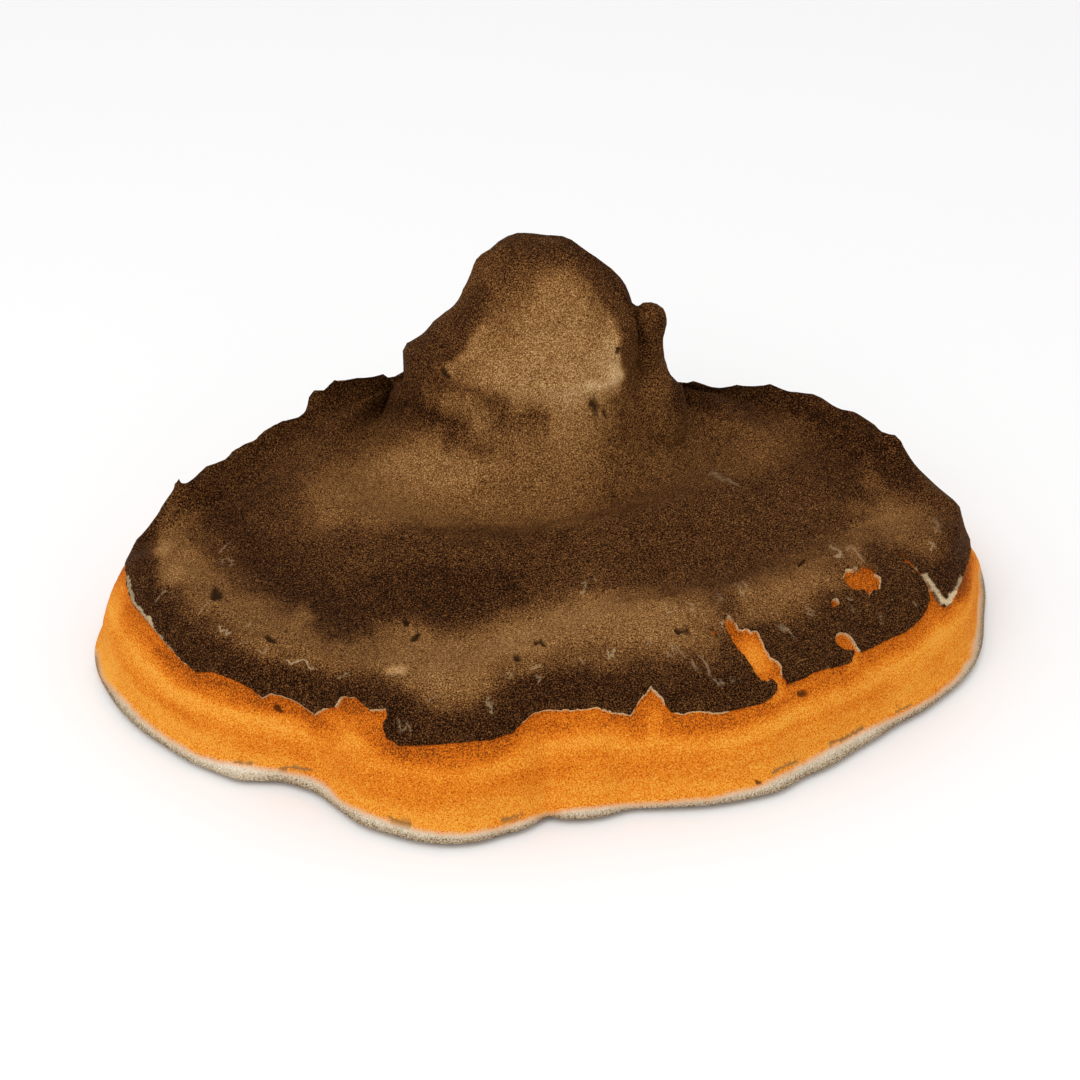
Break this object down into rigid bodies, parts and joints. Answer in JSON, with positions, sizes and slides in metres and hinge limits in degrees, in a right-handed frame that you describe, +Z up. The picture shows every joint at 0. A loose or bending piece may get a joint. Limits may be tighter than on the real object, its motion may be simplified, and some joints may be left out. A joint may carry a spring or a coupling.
{
  "type": "bracket fungus",
  "caption": "Woody bracket fungus: dark crust with a torn edge, bare orange flank, pale lip and a knob at the back, cut off flat underneath so that it stands on the cut.",
  "frame": {"origin": "middle of the outline, on the flat cut that it stands on", "axes": "+Z up from the cut through the crust, +X along the length from left to right as seen from the front, +Y to the back, where the knob stands"},
  "size_m": [0.2677, 0.1979, 0.1021],
  "materials": {
    "conk": "dry woody fungus: dark brown dull crust on top, orange flesh round the flank and a pale lip at the foot"
  },
  "bodies": {
    "root": {"conk": "conk"}
  },
  "joints": []
}
